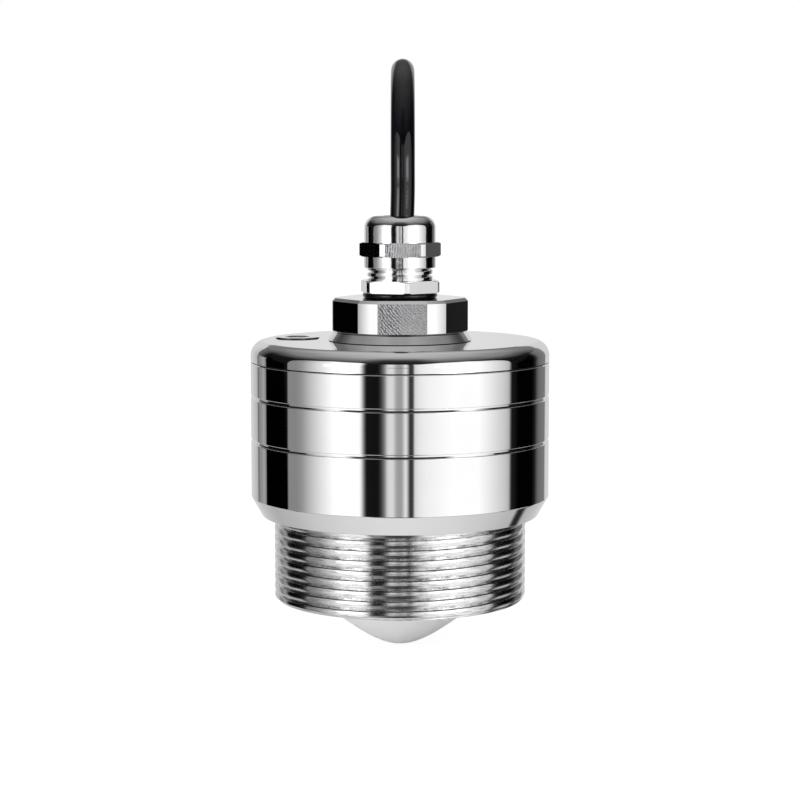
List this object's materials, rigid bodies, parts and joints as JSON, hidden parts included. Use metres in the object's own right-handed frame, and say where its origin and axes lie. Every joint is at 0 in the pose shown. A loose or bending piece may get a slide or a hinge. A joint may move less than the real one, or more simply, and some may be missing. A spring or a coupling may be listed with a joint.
{
  "type": "radar level gauge",
  "caption": "Compact radar level gauge: polished round steel housing with a screwed cap, a pipe thread, a white lens antenna below and a metal cable gland on top.",
  "frame": {"origin": "centre of the flat seat face above the process thread, on the axis", "axes": "+Z along the axis towards the cable gland, -Y towards the picture's camera, +X to its right"},
  "size_m": [0.0704, 0.1585, 0.1394],
  "materials": {
    "polished_steel": "polished",
    "nickel": "nickel plated, polished",
    "white_lens": "satin",
    "black_rubber": "satin",
    "black_sheath": "gloss",
    "yellow_brass": "turned",
    "turned_aluminium": "turned",
    "board_green": "satin",
    "chip_black": "satin",
    "tinned_steel": "satin",
    "screw_steel": "satin",
    "capacitor_can": "satin",
    "transformer_core": "matt",
    "terminal_green": "satin",
    "core_sleeves": "satin",
    "claw_plastic": "satin",
    "seal_rubber": "matt",
    "strap_fabric": "woven"
  },
  "bodies": {
    "root": {"housing": "polished_steel", "lens": "white_lens", "lens_seal": "black_rubber", "lens_retainer": "yellow_brass", "horn": "turned_aluminium", "radar_board": "board_green", "radar_chip": "chip_black", "radar_shield": "tinned_steel", "board_link": "chip_black", "board_spacers": "yellow_brass", "board_screws": "screw_steel", "power_board": "board_green", "capacitors": "capacitor_can", "transformer": "transformer_core", "terminal_block": "terminal_green", "inner_cores": "core_sleeves", "cap": "polished_steel", "cap_seal": "black_rubber", "socket_plug": "polished_steel", "plug_seal": "black_rubber", "hex_adapter": "polished_steel", "adapter_seal": "black_rubber", "gland_gasket": "black_rubber", "gland_body": "nickel", "gland_seal": "seal_rubber", "gland_claw": "claw_plastic", "gland_nut": "nickel", "cable": "black_sheath", "cable_coil": "black_sheath", "coil_tie": "strap_fabric", "cable_tail": "black_sheath", "tail_cores": "core_sleeves", "core_ferrules": "tinned_steel"}
  },
  "joints": []
}
